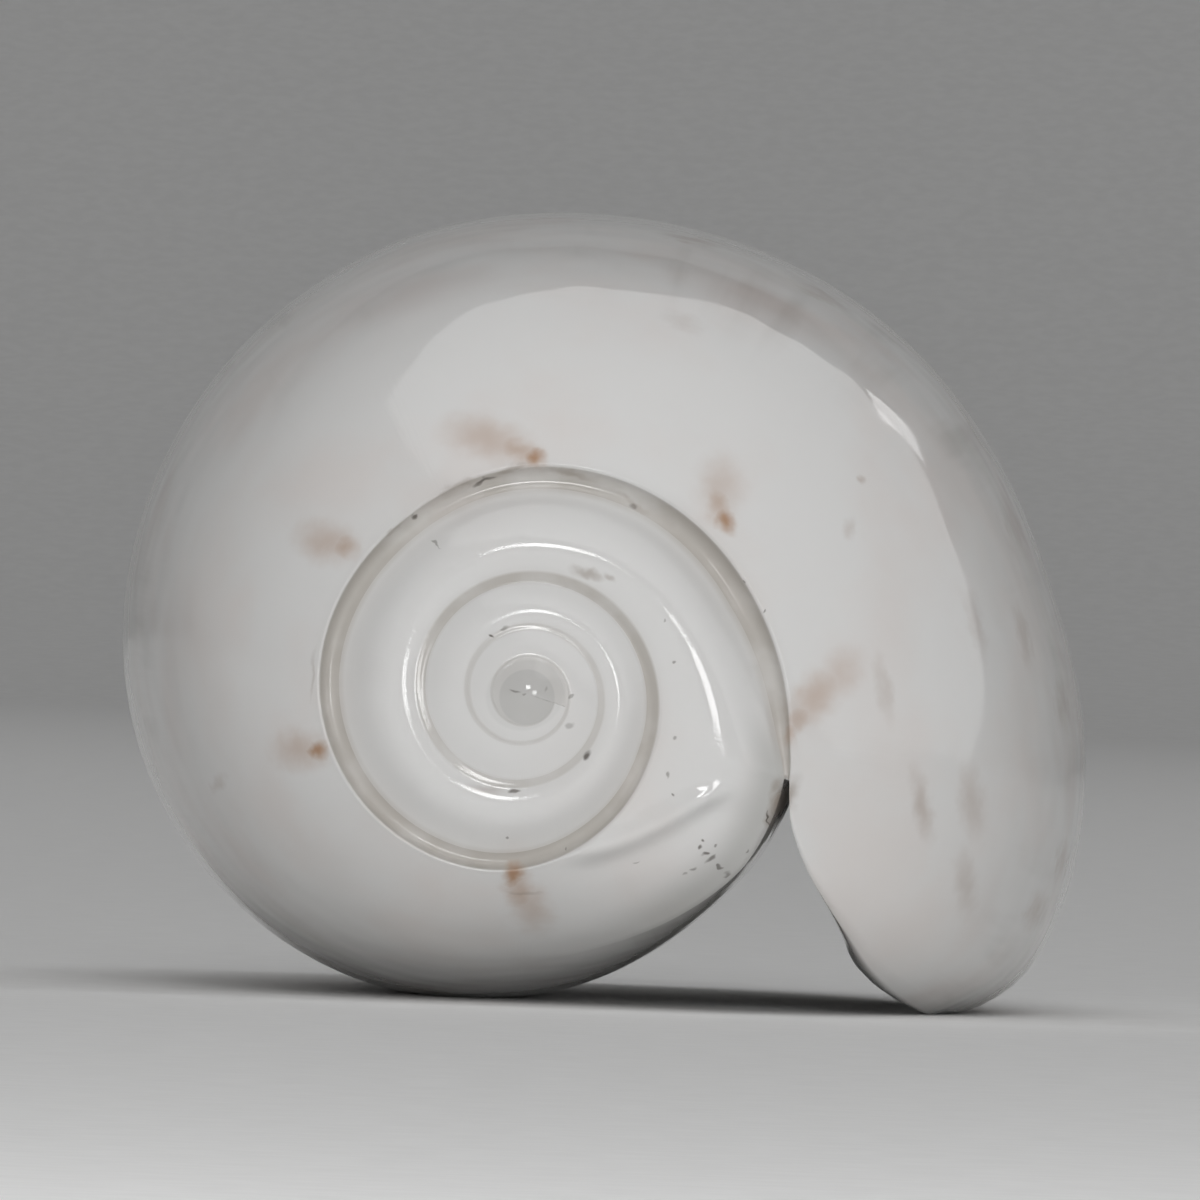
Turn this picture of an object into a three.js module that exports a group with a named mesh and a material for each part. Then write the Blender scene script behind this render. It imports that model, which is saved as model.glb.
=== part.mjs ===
// An olive shell lying on its aperture, with the apex of its spire facing the viewer.
// Lengths are in millimetres and angles in degrees. The coiling axis runs along +Y, from the
// apex to the front end. Angles around the axis are counted back from the lip, so they grow
// towards the apex, and one whorl is 360 degrees.
import * as THREE from 'three';
import { mergeVertices } from 'three/addons/utils/BufferGeometryUtils.js';

// Size and pose
const LENGTH = 41;
const LIP_DIRECTION = -36;
const AXIS_HEIGHT = 6.49;
const REST_DEPTH = 0.14;
const AXIS_OFFSET = -1.695;

// Mesh density
const COLUMNS_PER_WHORL = 50;
const COLUMN_CROWDING = 0.5;
const ROW_CROWDING = 1.6;
const WHORLS_IN_SPIRE = 3;
const WELD_DISTANCE = 0.001;

// Growth of the shell: [angle back from the lip, radius of the whorl where it is widest]
const GIRTH = [
  [-8, 10.1], [0, 11.15], [8, 11.98], [17, 12.1], [32, 11.8], [50, 11.22], [80, 10.83],
  [115, 10.15], [145, 9.72], [185, 8.93], [225, 8.12], [265, 7.2], [305, 6.42], [345, 5.95],
  [365, 6], [380, 6],
];
// [angle, radius of the shoulder edge that runs beside the suture]
const SHOULDER = [
  [0, 5.95], [20, 5.74], [30, 5.53], [60, 5.14], [95, 4.88], [130, 4.6], [165, 4.27], [215, 4.13],
  [265, 3.85], [305, 3.6], [340, 3.22], [377, 2.9], [488, 2.52], [578, 2.2], [660, 1.96],
  [758, 1.66], [850, 1.45], [1030, 1.06], [1210, 0.82], [1460, 0.62],
];
// [angle, depth below the apex of the widest place]
const GIRTH_DEPTH = [[0, 16], [180, 16], [300, 16.5], [380, 13], [740, 9]];
// [angle, radius at the front end], then [angle, depth of the front end]
const FRONT_RADIUS = [
  [0, 6.3], [45, 5.4], [90, 4.7], [150, 4.05], [200, 3.6], [260, 3.1], [320, 2.7],
  [380, 2.35], [470, 2], [560, 1.7],
];
const FRONT_DEPTH = [
  [0, 39.2], [25, 38.7], [60, 37.3], [100, 37], [140, 37.8], [190, 39.2], [250, 39.9],
  [380, 40.2], [560, 40],
];

// Spire and suture
const SPIRE_DEPTH = 1.6;
const SPIRE_RADIUS = 5.7;
const SPIRE_POWER = 0.7;
const TIP_ROUNDING = 0.35;
// [angle, width of the channel], then [angle, depth of the channel], as shares of the
// shoulder's radius
const CHANNEL_WIDTH = [[20, 0.02], [28, 0.05], [38, 0.075], [60, 0.1]];
const CHANNEL_DEPTH = [
  [20, 0.02], [45, 0.07], [70, 0.088], [300, 0.088], [380, 0.065], [460, 0.045], [740, 0.03],
  [1000, 0],
];
// Channel section: reach and drop of its floor, then of its wall, as shares of width and depth
const OPEN_CHANNEL = [0.45, 0.3, 0.22, 0.95];
const FILLED_CHANNEL = [0.3, 0.1, 0.6, 0.1];
const CALLUS_ONSET = 350;
const CALLUS_END = 430;
// Section of a band of the spire at an angle: reach and drop of its first handle, then the drop
// of its last handle, as shares of its width and height
const BAND_REACH = [[300, 0.5], [400, 0.7], [470, 0.52]];
const BAND_ONSET = [[300, 0], [400, -0.3], [720, -0.35], [1040, 0.35]];
const BAND_END = [[300, 0.8], [380, 0.8], [440, 0.5], [720, 0.5], [1040, 0.35]];
const BAND_TAIL = 0.3;
const APEX_SHIFT = 0.12;
const APEX_SHIFT_RADIUS = 4;
const APEX_RING = 0.55;

// Shoulders: [reach, drop] of the first handle from the start, then of the second handle back
// from the end, as shares of the shoulder's width and height
const OPEN_SHOULDER = [[0.72, 0.15], [0, 0.62]];
const COVERED_SHOULDER = [[1, 0.06], [0, 0.78]];
const INNER_SHOULDER = [[0.45, 0.2], [0, 0.45]];
const HOLLOW_SHOULDER = [[0.62, 0.1], [0, 0.55]];
// Share of the open shoulder that lies above station 2, and the angles where the lip covers it
const ABOVE_SEAT = 0.42;
const COVERED_ANGLES = [305, 380];
// Flank: drop of the first handle, then [length, drop] of the second handle where the flank is
// full and where it is waisted, with the angles between the two
const FLANK_START = 0.42;
const FULL_FLANK = [3.5, 0.34];
const WAISTED_FLANK = [0.5, 0.48];
const WAIST_ANGLES = [200, 380];
const FRONT_TIP = [0.5, LENGTH];
const FRONT_TIP_ANGLE = 280;

// Lip: [station down the whorl, angle of the margin]
const LIP_LINE = [
  [0, 20], [1, 20], [1.02, 15], [1.08, 10.2], [1.19, 6.2], [1.35, 3.5], [1.55, 1.6], [1.8, 0],
  [2.1, -0.6], [2.4, -0.6], [3, -0.2], [4, -0.3], [4.25, -0.3], [4.5, 1.8], [4.7, 6.5], [4.85, 13], [5, 20],
];
const COMMISSURE = 20;
const LIP_REACH = 46;
const WALL = 1.05;
const FRONT_WALL = 0.85;
const EDGE_BULGE = 0.16;
const NOTCH_BULGE = 0.35;
const NOTCH_ONSET = 4.8;
const INNER_ONSET = 1.5;
const SEAT = 0.2;
const SEAT_MIDDLE = 2.5;

// Depth of the opening: [station, share of the hollow's full length]
const HOLLOW_LENGTH = [[3, 1], [4, 0.97], [4.5, 0.8], [5, 0.52]];
const HOLLOW_COLUMNS = 44;
const HOLLOW_SINK = 0.5;
const PARIETAL_BULGE = [[380, 0.375], [430, 0.68]];

// Columella folds, the band around the front end and the edge of the glaze on the spire. Each
// list of four gives where the relief starts, is full, starts to fade and ends
const FOLD_PITCH = 2.3;
const FOLD_HEIGHT = 0.26;
const FOLD_SLANT = 0.045;
const FOLD_ANGLES = [330, 362];
const FOLD_RANGE = [21, 24, 37, 39];
const BAND_EDGE = [[90, 37], [150, 34.5], [230, 31.5], [300, 28.5], [380, 25], [560, 22]];
const BAND_ANGLES = [90, 140, 360, 400];
const BAND_RELIEF = 0.2;
const BAND_SLOPE = 0.9;
const GLAZE_EDGE = [[318, 3.35], [341, 3.62], [360, 4.0], [375, 4.6], [384, 5.1]];
const GLAZE_ANGLES = [318, 335, 366, 376];
const GLAZE_RELIEF = 0.2;
const GLAZE_SLOPE = 0.35;

// A smooth curve through control points, each [place, value], held level past its ends
function curve(points, place) {
  const last = points.length - 1;
  if (place <= points[0][0]) return points[0][1];
  if (place >= points[last][0]) return points[last][1];
  let i = 0;
  while (place > points[i + 1][0]) i += 1;
  const slopeAt = (j) => {
    const before = points[Math.max(j - 1, 0)];
    const after = points[Math.min(j + 1, last)];
    return (after[1] - before[1]) / (after[0] - before[0]);
  };
  const [start, end] = [points[i], points[i + 1]];
  const width = end[0] - start[0];
  const u = (place - start[0]) / width;
  const rise = end[1] - start[1];
  const startSlope = slopeAt(i) * width;
  const endSlope = slopeAt(i + 1) * width;
  return start[1] + u * startSlope + u * u * (3 * rise - 2 * startSlope - endSlope)
    + u * u * u * (startSlope + endSlope - 2 * rise);
}

function smoothstep(low, high, value) {
  const u = THREE.MathUtils.clamp((value - low) / (high - low), 0, 1);
  return u * u * (3 - 2 * u);
}

// Rises from 0 to 1 over the first two limits and falls back over the last two
function plateau([start, full, fading, end], value) {
  return smoothstep(start, full, value) * (1 - smoothstep(fading, end, value));
}

function mix(first, second, share) {
  return first.map((value, i) => value + (second[i] - value) * share);
}

// A point on the cubic Bezier curve through four [radius, depth] points
function bezier(points, u) {
  const v = 1 - u;
  const weights = [v * v * v, 3 * u * v * v, 3 * u * u * v, u * u * u];
  return [0, 1].map((axis) => points.reduce((sum, point, i) => sum + weights[i] * point[axis], 0));
}

// A section from one landmark to the next, with its handles as shares of width and height
function section(start, end, [startHandle, endHandle], u) {
  const width = end[0] - start[0];
  const height = end[1] - start[1];
  return bezier([
    start,
    [start[0] + startHandle[0] * width, start[1] + startHandle[1] * height],
    [end[0] - endHandle[0] * width, end[1] - endHandle[1] * height],
    end,
  ], u);
}

// Depth of the low cone that the spire follows, with a rounded tip
function spireCone(radius) {
  const reach = Math.hypot(radius, TIP_ROUNDING) ** SPIRE_POWER - TIP_ROUNDING ** SPIRE_POWER;
  return SPIRE_DEPTH * reach / SPIRE_RADIUS ** SPIRE_POWER;
}

// Landmarks of the whorl at one angle, each as [radius, depth]
function shoulderEdge(angle) {
  const radius = curve(SHOULDER, angle);
  return [radius, spireCone(radius)];
}

function channelCut(angle) {
  return curve(SHOULDER, angle) * curve(CHANNEL_DEPTH, angle);
}

function suture(angle) {
  const radius = curve(SHOULDER, angle) * (1 - curve(CHANNEL_WIDTH, angle));
  return [radius, spireCone(radius) + channelCut(angle)];
}

function girth(angle) {
  const radius = angle > COMMISSURE + 360
    ? suture(angle - 360)[0] + curve(PARIETAL_BULGE, angle)
    : curve(GIRTH, angle);
  return [radius, curve(GIRTH_DEPTH, angle)];
}

function frontEnd(angle) {
  return [curve(FRONT_RADIUS, angle), curve(FRONT_DEPTH, angle)];
}

// The groove beside the suture: a rounded floor and a steep wall up to the shoulder edge. On the
// inner whorls callus fills it to a soft step
function channel(angle, u) {
  const [edgeRadius, edgeDepth] = shoulderEdge(angle);
  const [sutureRadius, sutureDepth] = suture(angle);
  const width = edgeRadius - sutureRadius;
  const cut = channelCut(angle);
  const [floorReach, floorDrop, wallReach, wallDrop] = mix(
    OPEN_CHANNEL,
    FILLED_CHANNEL,
    smoothstep(CALLUS_ONSET, CALLUS_END, angle),
  );
  return bezier([
    [sutureRadius, sutureDepth],
    [sutureRadius + floorReach * width, sutureDepth + floorDrop * cut],
    [edgeRadius - wallReach * width, edgeDepth + wallDrop * cut],
    [edgeRadius, edgeDepth],
  ], u);
}

// The whorl from its shoulder edge out to its widest place, fuller where the lip comes to cover it
function openShoulder(angle, covered, u) {
  const handles = OPEN_SHOULDER.map((handle, i) => mix(handle, COVERED_SHOULDER[i], covered));
  return section(shoulderEdge(angle), girth(angle), handles, u);
}

// The part of an inner whorl that shows in the spire, down to the next suture
function spireBand(angle, u) {
  const handles = [
    [curve(BAND_REACH, angle), curve(BAND_ONSET, angle)],
    [BAND_TAIL, curve(BAND_END, angle)],
  ];
  return section(shoulderEdge(angle), suture(angle - 360), handles, u);
}

// The wall that faces the opening, from the suture to the widest place of the inner whorl
function innerShoulder(angle, u) {
  return section(suture(angle - 360), girth(angle), INNER_SHOULDER, u);
}

// From the widest place to the front end: full on the outer whorl, waisted on the columella
function flank(angle, u) {
  const start = girth(angle);
  const end = frontEnd(angle);
  const height = end[1] - start[1];
  const waist = smoothstep(...WAIST_ANGLES, angle);
  const [handleLength, handleDrop] = mix(FULL_FLANK, WAISTED_FLANK, waist);
  return bezier([
    start,
    [start[0], start[1] + FLANK_START * height],
    [end[0] + handleLength, end[1] - handleDrop * height],
    end,
  ], u);
}

// Fine relief, as a height along the radius
function columellaFolds(angle, depth) {
  const onset = smoothstep(...FOLD_ANGLES, angle) * plateau(FOLD_RANGE, depth);
  const phase = 2 * Math.PI * (depth + FOLD_SLANT * (angle - COMMISSURE - 360)) / FOLD_PITCH;
  return FOLD_HEIGHT * onset * (1 + Math.cos(phase)) / 2;
}

function frontBand(angle, depth) {
  const edge = curve(BAND_EDGE, angle);
  return BAND_RELIEF * plateau(BAND_ANGLES, angle) * smoothstep(edge, edge + BAND_SLOPE, depth);
}

function spireGlaze(angle, radius) {
  const edge = curve(GLAZE_EDGE, angle);
  const sink = smoothstep(edge, edge + GLAZE_SLOPE, radius);
  return -GLAZE_RELIEF * plateau(GLAZE_ANGLES, angle) * sink;
}

// Profile of the outer surface. Stations: 0 suture, 1 shoulder edge, 2 next suture,
// 3 inner side of the wall's seat, 4 widest place, 5 front end
function profile(angle, station) {
  if (station <= 1) return channel(angle, station);
  const covered = smoothstep(...COVERED_ANGLES, angle);
  let open = flank(angle, station - 4);
  let inner = open;
  if (station < 4) {
    const belowSeat = THREE.MathUtils.lerp(ABOVE_SEAT, 1, (station - 2) / 2);
    open = openShoulder(angle, covered, station < 2 ? ABOVE_SEAT * (station - 1) : belowSeat);
    inner = station < 2
      ? spireBand(angle, station - 1)
      : innerShoulder(angle, station < 3 ? SEAT * (station - 2) : SEAT + (1 - SEAT) * (station - 3));
  }
  const point = mix(open, inner, covered);
  const relief = columellaFolds(angle, point[1]) + frontBand(angle, point[1]);
  const sink = station < 4 ? spireGlaze(angle, point[0]) : 0;
  return [point[0] + relief, point[1] - sink];
}

// Profile of the inner surface, from station 3 to station 5
function innerProfile(angle, station) {
  const seat = profile(angle + 360, 3);
  const [outerRadius, outerDepth] = girth(angle);
  const widest = [outerRadius - WALL, outerDepth + HOLLOW_SINK];
  if (station <= 4) return section(seat, widest, HOLLOW_SHOULDER, station - 3);
  const outer = flank(angle, station - 4);
  const wall = THREE.MathUtils.lerp(WALL, FRONT_WALL, station - 4);
  return [outer[0] - wall, outer[1] + HOLLOW_SINK * (5 - station)];
}

// A place on the shell in space, lying on the plane z = 0
function place(angle, [radius, depth]) {
  const turn = THREE.MathUtils.degToRad(LIP_DIRECTION + angle);
  const shift = APEX_SHIFT * (1 - smoothstep(0, APEX_SHIFT_RADIUS, radius))
    * (1 - smoothstep(0, SPIRE_DEPTH, depth));
  const x = radius * Math.cos(turn) + shift;
  const z = AXIS_HEIGHT + radius * Math.sin(turn) - REST_DEPTH;
  return new THREE.Vector3(x, depth, Math.max(z, 0));
}

// Angle of a column of vertices. Columns crowd towards the lip, the same way in every whorl
function columnAngle(column) {
  const whorls = column / COLUMNS_PER_WHORL;
  const crowding = COLUMN_CROWDING * Math.sin(2 * Math.PI * whorls) / (2 * Math.PI);
  return COMMISSURE + 360 * (whorls - crowding);
}

// The same angle where the first columns follow the margin of the lip
function angleFromLip(column, lip) {
  const angle = columnAngle(column);
  const reach = Math.max(0, 1 - (angle - COMMISSURE) / LIP_REACH);
  return angle + (lip - COMMISSURE) * reach * reach;
}

function outerAngle(column, station) {
  return angleFromLip(column, curve(LIP_LINE, station));
}

// Inside, stations 3 to 4 lie behind stations 1 to 4 of the outer surface
function stationInFront(station) {
  return station < 4 ? 1 + 3 * (station - 3) ** INNER_ONSET : station;
}

function stationBehind(station) {
  return station < 4 ? 3 + (Math.max(0, station - 1) / 3) ** (1 / INNER_ONSET) : station;
}

function innerAngle(column, station) {
  const lip = curve(LIP_LINE, stationInFront(station));
  return lip + (angleFromLip(column, lip) - lip) * curve(HOLLOW_LENGTH, station);
}

function wallAngle(column, station) {
  return COMMISSURE + 360 + (columnAngle(column) - COMMISSURE) * curve(HOLLOW_LENGTH, station);
}

// Stations of the rows of vertices
function steps(from, to, count) {
  return Array.from({ length: count }, (_, i) => from + (to - from) * (i + 1) / count);
}

const BAND_ROWS = [0, ...steps(0, 1, 2), ...steps(0, 1, 7).map((u) => 1 + u ** ROW_CROWDING)];
const WALL_ROWS = [3, ...steps(3, 4, 4), ...steps(4, 5, 17)];
const OUTER_ROWS = [...BAND_ROWS, SEAT_MIDDLE, ...WALL_ROWS];
const INNER_ROWS = [3, ...steps(3, 4, 5), ...steps(4, 5, 9)];

// Triangles, kept as a plain list of corners
const corners = [];

function triangle(a, b, c) {
  corners.push(a, b, c);
}

// A grid of points, given as columns, facing the side where rows x columns point
function sheet(columns) {
  for (let i = 0; i + 1 < columns.length; i += 1) {
    for (let j = 0; j + 1 < columns[i].length; j += 1) {
      const [a, b] = [columns[i][j], columns[i + 1][j]];
      const [c, d] = [columns[i + 1][j + 1], columns[i][j + 1]];
      triangle(a, c, b);
      triangle(a, d, c);
    }
  }
}

// A strip between two lines of points that need not have the same number of points. Each step
// takes the shorter of the two diagonals
function strip(first, second) {
  let i = 0;
  let j = 0;
  while (i + 1 < first.length || j + 1 < second.length) {
    const firstEnded = i + 1 >= first.length;
    const secondEnded = j + 1 >= second.length;
    if (secondEnded || (!firstEnded
      && first[i + 1].distanceTo(second[j]) <= first[i].distanceTo(second[j + 1]))) {
      triangle(first[i], second[j], first[i + 1]);
      i += 1;
    } else {
      triangle(first[i], second[j], second[j + 1]);
      j += 1;
    }
  }
}

function fan(centre, line) {
  for (let i = 0; i + 1 < line.length; i += 1) triangle(centre, line[i], line[i + 1]);
}

function columnsOf(count, rows, angleAt, profileAt) {
  return Array.from({ length: count + 1 }, (_, column) => rows.map((station) => {
    const angle = angleAt(column, station);
    return place(angle, profileAt(angle, station));
  }));
}

// Outer whorl, from the lip back to where it goes under its own lip
const outerColumns = columnsOf(COLUMNS_PER_WHORL, OUTER_ROWS, outerAngle, profile);

// Spire: the inner whorls that show between one suture and the next
const spireColumns = columnsOf(
  COLUMNS_PER_WHORL * WHORLS_IN_SPIRE,
  BAND_ROWS,
  (column) => columnAngle(column + COLUMNS_PER_WHORL),
  profile,
);

// Hollow: the inside of the outer wall, and the wall and columella that face it
const innerColumns = columnsOf(HOLLOW_COLUMNS, INNER_ROWS, innerAngle, innerProfile);
const wallColumns = columnsOf(HOLLOW_COLUMNS, WALL_ROWS, wallAngle, profile);

const lastOf = (list) => list[list.length - 1];
const frontRow = (columns) => columns.map(lastOf);

// Middle of the rounded edge between the outer and the inner surface, pushed out by a bulge
// past the lip or past the front end
function edgePoint(angle, station, lipBulge, frontBulge) {
  const outer = profile(angle, station);
  const inner = innerProfile(angle, stationBehind(station));
  const [radius, depth] = mix(outer, inner, 0.5);
  const turn = THREE.MathUtils.radToDeg(lipBulge / radius);
  return place(angle - turn, [radius, depth + frontBulge]);
}

// Rounded edge of the lip and of the front notch
function roundedEdge() {
  const hollowEnd = innerAngle(HOLLOW_COLUMNS, 5);
  const rimAngles = outerColumns.map((_, column) => outerAngle(column, 5))
    .filter((angle) => angle < hollowEnd);
  const seat = outerColumns[COLUMNS_PER_WHORL][OUTER_ROWS.indexOf(SEAT_MIDDLE)];
  const lipRows = OUTER_ROWS.filter((station) => station >= 1);
  return {
    rimColumns: rimAngles.length,
    outerLine: [...outerColumns[0], ...frontRow(outerColumns).slice(1, rimAngles.length)],
    innerLine: [...innerColumns[0], ...frontRow(innerColumns).slice(1)],
    middleLine: [
      seat,
      ...lipRows.map((station) => edgePoint(
        curve(LIP_LINE, station),
        station,
        EDGE_BULGE * smoothstep(1, 2, station),
        NOTCH_BULGE * smoothstep(NOTCH_ONSET, 5, station),
      )),
      ...rimAngles.slice(1).map((angle) => edgePoint(angle, 5, 0, NOTCH_BULGE)),
    ],
  };
}

function buildShell() {
  sheet(outerColumns);
  sheet(spireColumns);
  sheet(wallColumns);
  sheet(innerColumns.slice().reverse());
  strip(lastOf(innerColumns), lastOf(wallColumns));

  const { outerLine, middleLine, innerLine, rimColumns } = roundedEdge();
  strip(outerLine, middleLine);
  strip(middleLine, innerLine);

  // Front tip of the columella
  const tip = place(FRONT_TIP_ANGLE, FRONT_TIP);
  fan(tip, [
    lastOf(middleLine),
    ...frontRow(outerColumns).slice(rimColumns - 1),
    ...frontRow(wallColumns).slice(1),
    lastOf(innerLine),
    lastOf(middleLine),
  ].reverse());

  // Rounded apex inside the last turn of the suture
  const lastTurn = spireColumns.slice(-COLUMNS_PER_WHORL - 1).map((column) => column[0]);
  const rim = [...lastTurn, ...lastOf(spireColumns).slice(1)];
  const apex = place(0, [0, 0]);
  const ring = rim.map((point) => {
    const across = new THREE.Vector2(point.x - apex.x, point.z - apex.z).multiplyScalar(APEX_RING);
    return new THREE.Vector3(apex.x + across.x, spireCone(across.length()), apex.z + across.y);
  });
  strip(ring, rim);
  fan(apex, ring);
}

function shellGeometry() {
  buildShell();
  const geometry = new THREE.BufferGeometry();
  const positions = new Float32Array(corners.flatMap((point) => point.toArray()));
  geometry.setAttribute('position', new THREE.BufferAttribute(positions, 3));
  const welded = mergeVertices(geometry, WELD_DISTANCE);
  welded.computeVertexNormals();
  return welded;
}

const shell = new THREE.Mesh(
  shellGeometry(),
  new THREE.MeshStandardMaterial({ color: 0xe9e6e1, roughness: 0.18, metalness: 0 }),
);
shell.name = 'olive_shell';
shell.position.set(AXIS_OFFSET, -LENGTH / 2, 0);

const object = new THREE.Group();
object.add(shell);

export default object;
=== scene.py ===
import math
import bpy
import numpy as np
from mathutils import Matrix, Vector


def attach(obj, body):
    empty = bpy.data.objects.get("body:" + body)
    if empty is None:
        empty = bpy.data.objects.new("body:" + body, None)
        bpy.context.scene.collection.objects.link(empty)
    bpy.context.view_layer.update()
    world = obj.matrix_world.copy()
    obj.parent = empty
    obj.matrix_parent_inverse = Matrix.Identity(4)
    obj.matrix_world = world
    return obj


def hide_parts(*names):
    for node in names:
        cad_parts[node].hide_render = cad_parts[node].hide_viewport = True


# Looks of the olive shell. Shape values are in millimetres and degrees, and are turned into
# metres where the mesh is made. Angles are counted back from the lip, 360 to a whorl.

# Size and pose
MM = 0.001
LENGTH = 41
LIP_DIRECTION = -36
AXIS_HEIGHT = 6.49
REST_DEPTH = 0.14
AXIS_OFFSET = -1.695

# Mesh density
COLUMNS_PER_WHORL = 180
COLUMN_CROWDING = 0.5
WHORLS_IN_SPIRE = 3
HOLLOW_COLUMNS = 158
GROOVE_ROWS = 10
BAND_ROWS = 28
BAND_CROWDING = 1.3
EDGE_ROWS = 8
WALL_ROWS = 34
FLANK_ROWS = 100
HOLLOW_WALL_ROWS = 24
HOLLOW_FLANK_ROWS = 44
CAP_RINGS = 12
WELD_DIGITS = 4

# Growth: [angle, radius where the whorl is widest], then [angle, radius of the shoulder edge]
GIRTH = [
    [-8, 10.1], [0, 11.15], [8, 11.98], [17, 12.1], [32, 11.8], [50, 11.22], [80, 10.83],
    [115, 10.15], [145, 9.72], [185, 8.93], [225, 8.12], [265, 7.2], [305, 6.42], [345, 5.95],
    [365, 6], [380, 6],
]
SHOULDER = [
    [0, 5.95], [20, 5.74], [30, 5.53], [60, 5.14], [95, 4.88], [130, 4.6], [165, 4.27], [215, 4.13],
    [265, 3.85], [305, 3.6], [340, 3.22], [377, 2.9], [488, 2.52], [578, 2.2], [660, 1.96],
    [758, 1.66], [850, 1.45], [1030, 1.06], [1210, 0.82], [1460, 0.62],
]
GIRTH_DEPTH = [[0, 16], [180, 16], [300, 16.5], [380, 13], [740, 9]]
FRONT_RADIUS = [
    [0, 6.3], [45, 5.4], [90, 4.7], [150, 4.05], [200, 3.6], [260, 3.1], [320, 2.7],
    [380, 2.35], [470, 2], [560, 1.7],
]
FRONT_DEPTH = [
    [0, 39.2], [25, 38.7], [60, 37.3], [100, 37], [140, 37.8], [190, 39.2], [250, 39.9],
    [380, 40.2], [560, 40],
]

# Spire and suture. The channel's width and depth are shares of the shoulder's radius. Its
# handles are shares of its own width and depth: (reach, drop) from the floor, then from the edge
SPIRE_DEPTH = 1.6
SPIRE_RADIUS = 5.7
SPIRE_POWER = 0.7
TIP_ROUNDING = 0.35
CHANNEL_WIDTH = [[20, 0.02], [28, 0.05], [38, 0.075], [60, 0.1]]
CHANNEL_DEPTH = [
    [20, 0.02], [45, 0.07], [70, 0.088], [300, 0.088], [380, 0.065], [460, 0.045], [740, 0.03],
    [1000, 0],
]
OPEN_CHANNEL = [0.45, 0.3, 0.22, 0.95]
FILLED_CHANNEL = [0.3, 0.1, 0.6, 0.1]
CALLUS_ONSET = 350
CALLUS_END = 430
BAND_REACH = [[300, 0.5], [400, 0.7], [470, 0.52]]
BAND_ONSET = [[300, 0], [400, -0.3], [720, -0.35], [1040, 0.35]]
BAND_END = [[300, 0.8], [380, 0.8], [440, 0.5], [720, 0.5], [1040, 0.35]]
BAND_TAIL = 0.3
APEX_SHIFT = 0.12
APEX_SHIFT_RADIUS = 4
APEX_ANGLE = 1200

# Shoulders: (reach, drop) of the first handle from the start, then of the second handle back
# from the end, as shares of the shoulder's width and height
OPEN_SHOULDER = [[0.72, 0.15], [0, 0.62]]
COVERED_SHOULDER = [[1, 0.06], [0, 0.78]]
INNER_SHOULDER = [[0.45, 0.2], [0, 0.45]]
HOLLOW_SHOULDER = [[0.62, 0.1], [0, 0.55]]
ABOVE_SEAT = 0.42
COVERED_ANGLES = [305, 380]

# Flank: drop of its first handle as a share of its height, then (reach in millimetres, drop as a
# share) of its last handle, on the outer whorl and on the columella
FLANK_START = 0.42
FULL_FLANK = [3.5, 0.34]
WAISTED_FLANK = [0.5, 0.48]
WAIST_ANGLES = [200, 380]

# Tip of the columella at the front end: its angle, then its radius and depth
FRONT_TIP_ANGLE = 280
FRONT_TIP = [0.5, LENGTH]

# Lip and hollow. The line of the lip is given as [station, angle]
LIP_LINE = [
    [0, 20], [1, 20], [1.02, 15], [1.08, 10.2], [1.19, 6.2], [1.35, 3.5], [1.55, 1.6], [1.8, 0],
    [2.1, -0.6], [2.4, -0.6], [3, -0.2], [4, -0.3], [4.25, -0.3], [4.5, 1.8],
    [4.7, 6.5], [4.85, 13], [5, 20],
]
COMMISSURE = 20
LIP_REACH = 46
WALL = 1.05
FRONT_WALL = 0.85
EDGE_BULGE = 0.16
BULGE_STATIONS = [1, 2]
NOTCH_BULGE = 0.35
NOTCH_ONSET = 4.8
INNER_ONSET = 1.5
HOLLOW_SINK = 0.5
SEAT = 0.2
HOLLOW_LENGTH = [[3, 1], [4, 0.97], [4.5, 0.8], [5, 0.52]]
PARIETAL_BULGE = [[380, 0.375], [430, 0.68]]

# Relief
FOLD_PITCH = 2.3
FOLD_HEIGHT = 0.26
FOLD_SLANT = 0.045
FOLD_ANGLES = [330, 362]
FOLD_RANGE = [21, 24, 37, 39]
BAND_EDGE = [[90, 37], [150, 34.5], [230, 31.5], [300, 28.5], [380, 25], [560, 22]]
BAND_ANGLES = [90, 140, 360, 400]
BAND_RELIEF = 0.2
BAND_SLOPE = 0.9
GLAZE_EDGE = [[318, 3.35], [341, 3.62], [360, 4.0], [375, 4.6], [384, 5.1]]
GLAZE_ANGLES = [318, 335, 366, 376]
GLAZE_RELIEF = 0.2
GLAZE_SLOPE = 0.35
GLAZE_BEAD = 0.12
GLAZE_BEAD_WIDTH = 0.26

# Camera, in millimetres and degrees
VIEW_WIDTH = 25
VIEW_DISTANCE = 600
VIEW_ROLL = 2
VIEW_FOCUS = 15
SENSOR = 36

# Size of the photograph and place of the coiling axis in it, in pixels
PHOTO_SIZE = 1200
AXIS_IN_PHOTO = [523, 691.5]

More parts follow.
